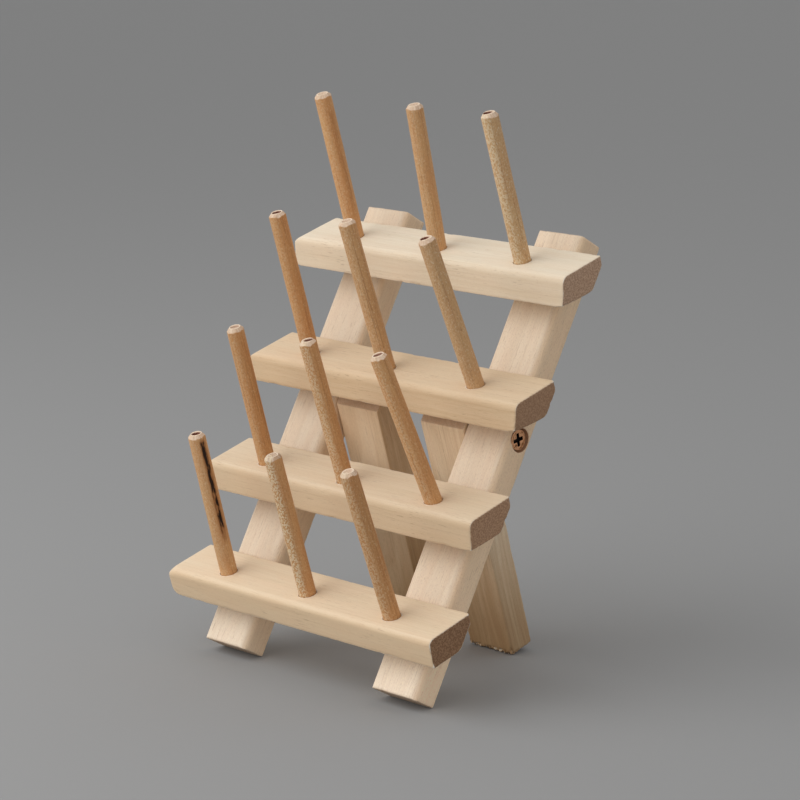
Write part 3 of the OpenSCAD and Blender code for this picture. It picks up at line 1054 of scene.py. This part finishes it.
def copied(name: str, node: str, frame: Frame, merge: float = 0.0005 * MM) -> bpy.types.Object:
    """Copies a CAD node's mesh into a new object, with its doubled points merged.

    Args:
        name: Name of the new object.
        node: The CAD node.
        frame: The loaded frame.
        merge: Points closer than this are one.

    Returns:
        The new object.
    """
    mesh = bpy.data.meshes.new(name)
    work = bmesh.new()
    work.from_mesh(frame["nodes"][node].data)
    bmesh.ops.remove_doubles(work, verts=work.verts[:], dist=merge)
    work.to_mesh(mesh)
    work.free()
    return new_object(name, mesh)


@dataclass
class Board:
    """One board, sanded from its CAD solid."""

    node: str
    body: str
    slot: Slot
    along: Triple
    side: Triple
    seed: Triple
    tone: Triple = PLAIN
    end_tone: Triple = PLAIN
    # painted light and shade on the faces towards the side and towards the floor
    side_shading: Triple = PLAIN
    low_shading: Triple = PLAIN
    low_height: float = 60 * MM
    voxel: float = 0.42 * MM
    edge_full: float = 0.2 * MM
    wave_depth: float = 0.16 * MM
    dent_depth: float = 0.3 * MM
    foot_depth: float = 0.0
    foot_height: float = 5 * MM
    blur_area: float = 0.5 * MM * MM

    def build(self, frame: Frame, tool: SandingTool, material: bpy.types.Material) -> bpy.types.Object:
        """Meshes the board finely and sands it.

        Args:
            frame: The loaded frame.
            tool: The sanding tree.
            material: The board's finish.

        Returns:
            The finished object, not yet handed to the frame.
        """
        piece = copied(f"{self.node}_wood", self.node, frame)
        remesh = piece.modifiers.new("fine", "REMESH")
        remesh.mode = "VOXEL"
        remesh.voxel_size = self.voxel
        tool.attach(piece, {
            "Along": self.along, "Side": self.side, "Seed": self.seed, "Tone": self.tone,
            "End tone": self.end_tone, "Side shading": self.side_shading, "Low shading": self.low_shading,
            "Low height": self.low_height, "Blur steps": max(1, round(self.blur_area / self.voxel ** 2)),
            "Edge full": self.edge_full, "Wave depth": self.wave_depth, "Dent depth": self.dent_depth,
            "Foot depth": self.foot_depth, "Foot height": self.foot_height, "Material": material,
        })
        bake(piece)
        return piece


@dataclass
class Rails:
    """The two leaning rails."""

    seed: Triple = (17.0, 0.0, 5.0)
    seed_step: Triple = (211.0, 8.0, 0.0)
    # painted light: right-facing faces lighter and warmer, and the rails lighter towards the floor
    side_shading: Triple = (0.12, 0.2, 0.0)
    low_shading: Triple = (0.2, -0.06, 0.0)
    sink_radius: float = 4.6 * MM
    sink_lip: float = 0.25 * MM
    # share of painted shade on the countersink wall
    sink_shade: float = 0.56
    tones: dict[Side, Triple] = field(default_factory=lambda: {
        Side.LEFT: (0.06, 0.06, 0.05),
        Side.RIGHT: (0.15, 0.06, 0.12),
    })

    def build(self, frame: Frame, tool: SandingTool, material: bpy.types.Material) -> None:
        """Builds both rails.

        Args:
            frame: The loaded frame.
            tool: The sanding tree.
            material: The rails' finish.
        """
        up = (0.0, math.sin(RAIL_LEAN), math.cos(RAIL_LEAN))
        pivots = {joint["child"]: joint["pos_m"] for joint in frame["record"]["behaviour"]["joints"]}
        for number, (side, tone) in enumerate(self.tones.items()):
            seed = stepped(self.seed, self.seed_step, number)
            board = Board(f"{side.value}_rail", "rack", Slot.BOARD, up, RIGHTWARD, seed, tone,
                          side_shading=self.side_shading, low_shading=self.low_shading)
            piece = board.build(frame, tool, material)
            self.shade_sink(piece, pivots[f"{side.value}_leg"])
            place(piece, board.body, board.node)

    def shade_sink(self, piece: bpy.types.Object, pivot: Sequence[float]) -> None:
        """Paints shade, in browns, on the wall of the countersink round a pivot screw.

        Args:
            piece: The rail.
            pivot: Place of the leg's hinge.
        """
        points = point_array(piece)
        away = np.linalg.norm(points[:, 1:] - np.array(pivot[1:]), axis=1)
        outward = np.abs(points[:, 0])
        sunk = (away < self.sink_radius) & (outward.max() - outward > self.sink_lip)
        # painted shade on the countersink wall
        mark_stain_and_shade(piece, np.where(sunk, self.sink_shade, 0.0))


@dataclass
class Legs:
    """The two folding legs."""

    seed: Triple = (61.0, 0.0, 29.0)
    seed_step: Triple = (173.0, 12.0, 0.0)
    tone: Triple = (0.3, -0.02, 0.0)
    # painted shade: darker and browner towards the foot, and right-facing faces darker
    low_shading: Triple = (-0.5, 0.5, 0.0)
    side_shadings: dict[Side, Triple] = field(default_factory=lambda: {
        Side.LEFT: (-0.4, 0.34, 0.0),
        Side.RIGHT: (-0.1, -0.08, 0.0),
    })
    frayed: dict[Side, float] = field(default_factory=lambda: {Side.LEFT: 0.3 * MM, Side.RIGHT: 1.8 * MM})

    def build(self, frame: Frame, tool: SandingTool, material: bpy.types.Material) -> None:
        """Builds both legs.

        Args:
            frame: The loaded frame.
            tool: The sanding tree.
            material: The legs' finish.
        """
        up = (0.0, -math.sin(LEG_LEAN), math.cos(LEG_LEAN))
        for number, side in enumerate(Side):
            name = f"{side.value}_leg"
            seed = stepped(self.seed, self.seed_step, number)
            board = Board(name, name, Slot.LEG, up, RIGHTWARD, seed, self.tone, low_shading=self.low_shading,
                          side_shading=self.side_shadings[side], foot_depth=self.frayed[side])
            place(board.build(frame, tool, material), name, name)


@dataclass(frozen=True)
class ShelfLook:
    """What sets one shelf apart: its tints and how its front and ends were shaved."""

    tone: Triple
    end_tone: Triple
    taper: float = 0.1 * MM
    foot_back: float = 0.0
    corner_loss: float = 0.0
    nosed: bool = False


@dataclass
class Shelves:
    """The four shelves with the mouths of their peg holes."""

    seed_step: Triple = (157.0, 23.0, 41.0)
    # painted shade: front faces darker and warmer
    front_shading: Triple = (-0.08, 0.16, 0.0)
    edge_full: float = 0.13 * MM
    mouth_gap: float = 0.17 * MM
    mouth_depth: float = 1.6 * MM
    mouth_steps: int = 64
    mouth_rim: float = 0.35 * MM
    # the hole rims take the pale rim, partly a painted highlight
    mouth_rubbed_and_lit: float = 1.2
    taper_fall: int = 2
    corner_reach: float = 4 * MM
    corner_fall: int = 3
    nose_round: float = 6 * MM
    nose_plan: float = 3 * MM
    nose_top: float = 7 * MM
    looks: tuple[ShelfLook, ...] = (
        ShelfLook((0.1, 0.12, 0.0), (-0.3, 0.48, 1.6), foot_back=2.3 * MM, nosed=True),
        ShelfLook((0.02, 0.12, 0.0), (0.02, 0.3, 0.6), foot_back=0.6 * MM, corner_loss=0.3 * MM),
        ShelfLook((0.0, 0.2, 0.0), (-0.08, 0.32, 0.2), taper=0.8 * MM, corner_loss=0.8 * MM),
        ShelfLook((0.12, -0.1, 0.0), (0.22, 0.05, 0.4), corner_loss=0.6 * MM),
    )

    def build(self, frame: Frame, tool: SandingTool, material: bpy.types.Material, pegs: "Pegs") -> None:
        """Builds the shelves.

        Args:
            frame: The loaded frame.
            tool: The sanding tree.
            material: The shelves' finish.
            pegs: The pegs, which say where the holes are.
        """
        forward = (0.0, -math.cos(SHELF_FALL), -math.sin(SHELF_FALL))
        for number, look in enumerate(self.looks):
            row = number + 1
            seed = stepped(PLAIN, self.seed_step, number)
            board = Board(f"shelf_{row}", "rack", Slot.BOARD, RIGHTWARD, forward, seed, look.tone,
                          look.end_tone, self.front_shading, edge_full=self.edge_full)
            piece = board.build(frame, tool, material)
            self.shave(piece, look)
            self.drill(piece, [peg for peg in pegs.pegs if peg.row == row])
            place(piece, board.body, board.node)

    def shave(self, piece: bpy.types.Object, look: ShelfLook) -> None:
        """Thins a shelf towards its lower front edge and rounds its ends by hand.

        Args:
            piece: The shelf.
            look: The shelf's own values.
        """
        points = point_array(piece)
        up = np.array((0.0, -math.sin(SHELF_FALL), math.cos(SHELF_FALL)))
        forward = np.array((0.0, -math.cos(SHELF_FALL), -math.sin(SHELF_FALL)))
        below = (points @ up).max() - points @ up
        ahead = points @ forward - (points @ forward).min()
        low = below / below.max()
        front = ahead / ahead.max()
        foremost = np.clip(2 * front - 1, 0.0, 1.0)
        from_right = points[:, 0].max() - points[:, 0]
        from_left = points[:, 0] - points[:, 0].min()
        corner = np.clip(1.0 - from_right / self.corner_reach, 0.0, 1.0) * (low * front) ** self.corner_fall
        lift = look.taper * low * front ** self.taper_fall + look.corner_loss * corner
        retreat = look.foot_back * low * foremost
        if look.nosed:
            from_corner = np.hypot(from_left, ahead.max() - ahead)
            lift += fillet(from_left, self.nose_round) * low
            lift -= fillet(from_corner, self.nose_top) * (1.0 - low)
            retreat += fillet(from_left, self.nose_plan) * foremost
        points[:, 0] -= look.corner_loss * corner
        points += np.outer(lift, up) - np.outer(retreat, forward)
        piece.data.vertices.foreach_set("co", points.ravel())
        piece.data.update()

    def drill(self, piece: bpy.types.Object, pegs: Sequence["Peg"]) -> None:
        """Cuts the mouth of each peg hole, a little wider than the peg.

        Args:
            piece: The shelf.
            pegs: The shelf's pegs.
        """
        work = bmesh.new()
        for peg in pegs:
            turn = peg.upward.to_track_quat("Z", "Y").to_matrix().to_4x4()
            turn.translation = peg.base
            wide = peg.radius + self.mouth_gap
            bmesh.ops.create_cone(work, cap_ends=True, segments=self.mouth_steps, radius1=wide, radius2=wide,
                                  depth=2 * self.mouth_depth, matrix=turn)
        mesh = bpy.data.meshes.new("mouths")
        work.to_mesh(mesh)
        work.free()
        cutter = new_object("mouths", mesh)
        modifier = piece.modifiers.new("mouths", "BOOLEAN")
        modifier.operation = "DIFFERENCE"
        modifier.solver = "EXACT"
        modifier.object = cutter
        bake(piece)
        bpy.data.objects.remove(cutter)
        bpy.data.meshes.remove(mesh)
        self.rub_and_light_mouths(piece, pegs)

    def rub_and_light_mouths(self, piece: bpy.types.Object, pegs: Sequence["Peg"]) -> None:
        """Marks the rims of the peg holes as rubbed edges, whose pale rim is partly a painted highlight.

        Args:
            piece: The drilled shelf.
            pegs: The shelf's pegs.
        """
        points = point_array(piece)
        edge = piece.data.attributes["edge"]
        values = np.zeros(len(points))
        edge.data.foreach_get("value", values)
        for peg in pegs:
            steps = points - np.array(peg.base)
            upward = np.array(peg.upward)
            high = steps @ upward
            out = np.linalg.norm(steps - np.outer(high, upward), axis=1)
            from_mouth = np.abs(out - peg.radius - self.mouth_gap)
            # pale rim round each mouth, partly a painted highlight
            values[(from_mouth < self.mouth_rim) & (np.abs(high) < 2 * self.mouth_rim)] = self.mouth_rubbed_and_lit
        edge.data.foreach_set("value", values)


@dataclass(frozen=True)
class PegLook:
    """What sets one peg apart: its tint, its marks and its tip, with turns in degrees."""

    tone: Triple = PLAIN
    tip_tone: Triple = PLAIN
    stain_turn: float = 0.0
    stain_span: Triple = (0.2, 0.9, 0.1)
    stain_shown: float = 0.12
    # painted sheen on the side facing the lamp, its turn in degrees and its strength
    sheen_turn: float = -102.0
    sheen_shown: float = 0.2
    hollow_depth: float = 0.15 * MM
    hollow_shift: float = 0.0
    hollow_turn: float = 44.0


@dataclass
class Peg:
    """One peg, placed by its mount in the record."""

    row: int
    column: int
    base: Vector
    upward: Vector
    radius: float
    stand: float


@dataclass
class Pegs:
    """The twelve pegs."""

    row_seed: Triple = (97.0, 0.0, 31.0)
    column_seed: Triple = (0.0, 13.0, 0.0)
    chamfer: float = 1.7 * MM
    narrowing: float = 1.1 * MM
    sink: float = 1.4 * MM
    wobble: float = 0.15 * MM
    rough_tip: float = 0.35 * MM
    sharp_angle: float = math.radians(24)
    pegs: list[Peg] = field(default_factory=list)
    looks: dict[tuple[int, int], PegLook] = field(default_factory=lambda: {
        (1, 1): PegLook((0.1, -0.08, 0.0), stain_turn=-8.0, stain_span=(0.3, 0.97, 0.16), stain_shown=1.0,
                        hollow_depth=1.0 * MM),
        (1, 2): PegLook((0.0, 0.08, 0.1), (-0.2, 0.05, 0.9), 20.0, sheen_shown=0.75, hollow_depth=0.0),
        (1, 3): PegLook((-0.08, 0.16, 0.1), stain_turn=30.0, sheen_shown=0.35),
        (2, 1): PegLook((0.0, 0.2, 0.0), stain_turn=10.0, stain_shown=0.25, hollow_depth=0.35 * MM),
        (2, 2): PegLook((0.0, 0.12, 0.05), stain_turn=25.0, sheen_shown=0.5, hollow_depth=0.7 * MM,
                        hollow_shift=0.3),
        (2, 3): PegLook((0.06, 0.14, 0.0), hollow_depth=0.55 * MM, sheen_shown=0.3),
        (3, 1): PegLook((0.02, 0.2, 0.0), stain_turn=5.0, hollow_depth=0.9 * MM),
        (3, 2): PegLook((0.0, -0.1, 0.1), stain_turn=15.0, hollow_depth=0.2 * MM),
        (3, 3): PegLook((0.0, -0.3, 0.1), stain_turn=35.0, hollow_depth=0.9 * MM, hollow_shift=-0.4),
        (4, 1): PegLook((0.08, 0.1, 0.0), stain_turn=-10.0, stain_shown=0.3),
        (4, 2): PegLook((0.06, -0.1, 0.0), stain_turn=-80.0, stain_span=(0.45, 0.55, 0.1), stain_shown=0.3),
        (4, 3): PegLook((0.04, -0.4, 0.15), stain_turn=20.0, sheen_shown=0.6, hollow_depth=0.8 * MM,
                        hollow_shift=-0.3),
    })

    def locate(self, frame: Frame) -> None:
        """Reads where each peg stands.

        Args:
            frame: The loaded frame.
        """
        for mount in frame["record"]["mounts"]:
            row, column = (int(part) for part in mount["name"].split("_")[1:])
            upward = Vector(mount["axis"]).normalized()
            wall = mount["dims"]["length_mm"] * MM
            base = Vector(mount["pos_m"]) - upward * wall / 2
            self.pegs.append(Peg(row, column, base, upward, mount["dims"]["r_mm"] * MM, wall + self.chamfer))

    def build(self, tool: DowelTool, material: bpy.types.Material) -> None:
        """Builds the pegs.

        Args:
            tool: The dowel tree.
            material: The pegs' finish.
        """
        for peg in self.pegs:
            node = f"peg_{peg.row}_{peg.column}"
            piece = new_object(f"{node}_dowel", bpy.data.meshes.new(node))
            back = peg.upward.cross(Vector(RIGHTWARD)).normalized()
            across = back.cross(peg.upward)
            look = self.looks[(peg.row, peg.column)]
            tool.attach(piece, {
                "Base": tuple(peg.base), "Across": tuple(across), "Back": tuple(back),
                "Upward": tuple(peg.upward), "Radius": peg.radius, "Stand": peg.stand, "Sink": self.sink,
                "Chamfer": self.chamfer, "Narrowing": self.narrowing, "Wobble": self.wobble,
                "Rough tip": self.rough_tip,
                "Seed": stepped(stepped(PLAIN, self.row_seed, peg.row), self.column_seed, peg.column),
                "Tone": look.tone, "End tone": look.tip_tone, "Hollow depth": look.hollow_depth,
                "Hollow turn": math.radians(look.hollow_turn), "Hollow shift": look.hollow_shift,
                "Stain turn": math.radians(look.stain_turn), "Stain span": look.stain_span,
                "Stain shown": look.stain_shown, "Sheen turn": math.radians(look.sheen_turn),
                "Sheen shown": look.sheen_shown, "Material": material,
            })
            bake(piece, self.sharp_angle)
            place(piece, "rack", node)


@dataclass
class Screws:
    """Pivot screws of the legs and the screws that hold the shelves."""

    seed: Triple = (3.0, 7.0, 11.0)
    voxel: float = 0.15 * MM
    edge_full: float = 0.05 * MM
    wave_depth: float = 0.02 * MM
    dent_depth: float = 0.03 * MM
    blur_area: float = 0.2 * MM * MM
    # painted shade starts below this depth and is full at the next
    unshaded_depth: float = 0.1 * MM
    full_shade_depth: float = 0.4 * MM

    def build(self, frame: Frame, tool: SandingTool, material: bpy.types.Material) -> None:
        """Builds the screws of both sides.

        Args:
            frame: The loaded frame.
            tool: The sanding tree, which here only rubs the edges.
            material: The screws' finish.
        """
        behind = (0.0, math.cos(RAIL_LEAN), -math.sin(RAIL_LEAN))
        outward = {Side.LEFT: (-1.0, 0.0, 0.0), Side.RIGHT: RIGHTWARD}
        for side in Side:
            for node, body, way in ((f"{side.value}_pivot_screw", f"{side.value}_leg", outward[side]),
                                    (f"{side.value}_shelf_screws", "rack", behind)):
                board = Board(node, body, Slot.SCREW, RIGHTWARD, BACKWARD, self.seed, voxel=self.voxel,
                              edge_full=self.edge_full, wave_depth=self.wave_depth,
                              dent_depth=self.dent_depth, blur_area=self.blur_area)
                piece = board.build(frame, tool, material)
                self.shade_recesses(piece, way)
                place(piece, body, node)

    def shade_recesses(self, piece: bpy.types.Object, way: Triple) -> None:
        """Paints shade, deeper with depth, on what lies below the heads' flat faces.

        Args:
            piece: The screws.
            way: Direction that their heads face.
        """
        high = point_array(piece) @ np.array(way)
        depth = high.max() - high - self.unshaded_depth
        mark_stain_and_shade(piece, np.clip(depth / (self.full_shade_depth - self.unshaded_depth), 0.0, 1.0))


@dataclass
class Studio:
    """Floor, light and camera."""

    floor_half: float = 8.0
    floor_colour: Colour = tint(156, 156, 156)
    floor_roughness: float = 0.9
    floor_gloss: float = 0.1
    sky_colour: Colour = (1.0, 1.0, 1.0, 1.0)
    sky_strength: float = 0.6
    eye: Triple = (0.685745, -0.693621, 0.301625)
    target: Triple = (0.01715, -0.006593, 0.098275)
    lens: float = 127.47
    sensor: float = 36.0
    key_from: Triple = (-0.42, -0.72, 0.55)
    key_away: float = 0.95
    key_size: float = 1.2
    key_power: float = 6.4

    def build(self) -> None:
        """Builds the studio."""
        self.build_floor()
        self.build_light()
        self.build_camera()

    def build_floor(self) -> None:
        """Lays the plain floor."""
        half = self.floor_half
        corners = [(-half, -half, 0), (half, -half, 0), (half, half, 0), (-half, half, 0)]
        mesh = bpy.data.meshes.new("floor")
        mesh.from_pydata(corners, [], [range(len(corners))])
        paper = Surface("floor_paper")
        paper.give("Base Color", self.floor_colour)
        paper.give("Roughness", self.floor_roughness)
        paper.give("Specular IOR Level", self.floor_gloss)
        mesh.materials.append(paper.material)
        new_object("floor", mesh)

    def build_light(self) -> None:
        """Hangs one broad soft lamp and sets the even light all round."""
        world = bpy.data.worlds.new("studio")
        world.use_nodes = True
        bpy.context.scene.world = world
        sky = world.node_tree.nodes["Background"]
        sky.inputs["Color"].default_value = self.sky_colour
        sky.inputs["Strength"].default_value = self.sky_strength
        lamp = bpy.data.lights.new("key", "AREA")
        lamp.shape = "DISK"
        lamp.size = self.key_size
        lamp.energy = self.key_power
        key = new_object("key", lamp)
        way = Vector(self.key_from).normalized()
        key.location = Vector(self.target) + way * self.key_away
        key.rotation_euler = way.to_track_quat("Z", "Y").to_euler()

    def build_camera(self) -> None:
        """Sets the camera at the photograph's place."""
        lens = bpy.data.cameras.new("camera")
        lens.lens = self.lens
        lens.sensor_width = self.sensor
        camera = new_object("camera", lens)
        camera.location = self.eye
        camera.rotation_euler = (Vector(self.eye) - Vector(self.target)).to_track_quat("Z", "Y").to_euler()
        bpy.context.scene.camera = camera
        bpy.context.scene.view_settings.view_transform = "Standard"


SHELF_WOOD = WoodFinish(
    name="pale_shelf_wood", pale=tint(229, 212, 187), deep=tint(217, 196, 166), streak=tint(196, 170, 137),
    fleck=tint(150, 118, 90), blush=tint(226, 202, 176), rim_and_highlight=tint(250, 242, 226),
    end_pale=tint(190, 161, 137), end_deep=tint(156, 125, 102), bands_shown=0.4, streaks_shown=0.25)
RAIL_WOOD = WoodFinish(
    name="rosy_rail_wood", pale=tint(222, 205, 183), deep=tint(208, 187, 163), streak=tint(188, 162, 134),
    fleck=tint(152, 122, 98), blush=tint(222, 198, 176), rim_and_highlight=tint(244, 234, 218),
    end_pale=tint(216, 192, 166), end_deep=tint(190, 162, 136), streaks_shown=0.18, fibre_shown=0.12,
    fuzz_shown=0.24, bump_height=0.2 * MM)
LEG_WOOD = WoodFinish(
    name="tan_leg_wood", pale=tint(222, 201, 172), deep=tint(202, 174, 140), streak=tint(176, 144, 108),
    fleck=tint(144, 110, 80), blush=tint(214, 184, 152), rim_and_highlight=tint(246, 232, 208),
    end_pale=tint(188, 154, 128), end_deep=tint(160, 122, 98), bands_shown=0.8, streaks_shown=0.4)
PEG_WOOD = WoodFinish(
    name="tan_peg_wood", pale=tint(211, 164, 113), deep=tint(191, 139, 90), streak=tint(156, 105, 63),
    fleck=tint(118, 76, 44), blush=tint(201, 139, 90), rim_and_highlight=tint(250, 236, 214),
    end_pale=tint(240, 216, 192), end_deep=tint(208, 172, 140), streaks_shown=0.5, flecks_shown=0.5,
    rings_shown=0.1, fuzz_shown=0.3, bump_height=0.2 * MM)


def main() -> None:
    """Builds the rack's looks in order."""
    logging.basicConfig(level=logging.INFO, format="%(name)s: %(message)s")
    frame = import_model()
    Studio().build()
    effects = WoodEffects()
    sanding = SandingTool()
    pegs = Pegs()
    pegs.locate(frame)
    Rails().build(frame, sanding, RAIL_WOOD.material(effects))
    Shelves().build(frame, sanding, SHELF_WOOD.material(effects), pegs)
    pegs.build(DowelTool(), PEG_WOOD.material(effects))
    Legs().build(frame, sanding, LEG_WOOD.material(effects))
    Screws().build(frame, sanding, ScrewFinish().material())


if __name__ == "__main__":
    main()
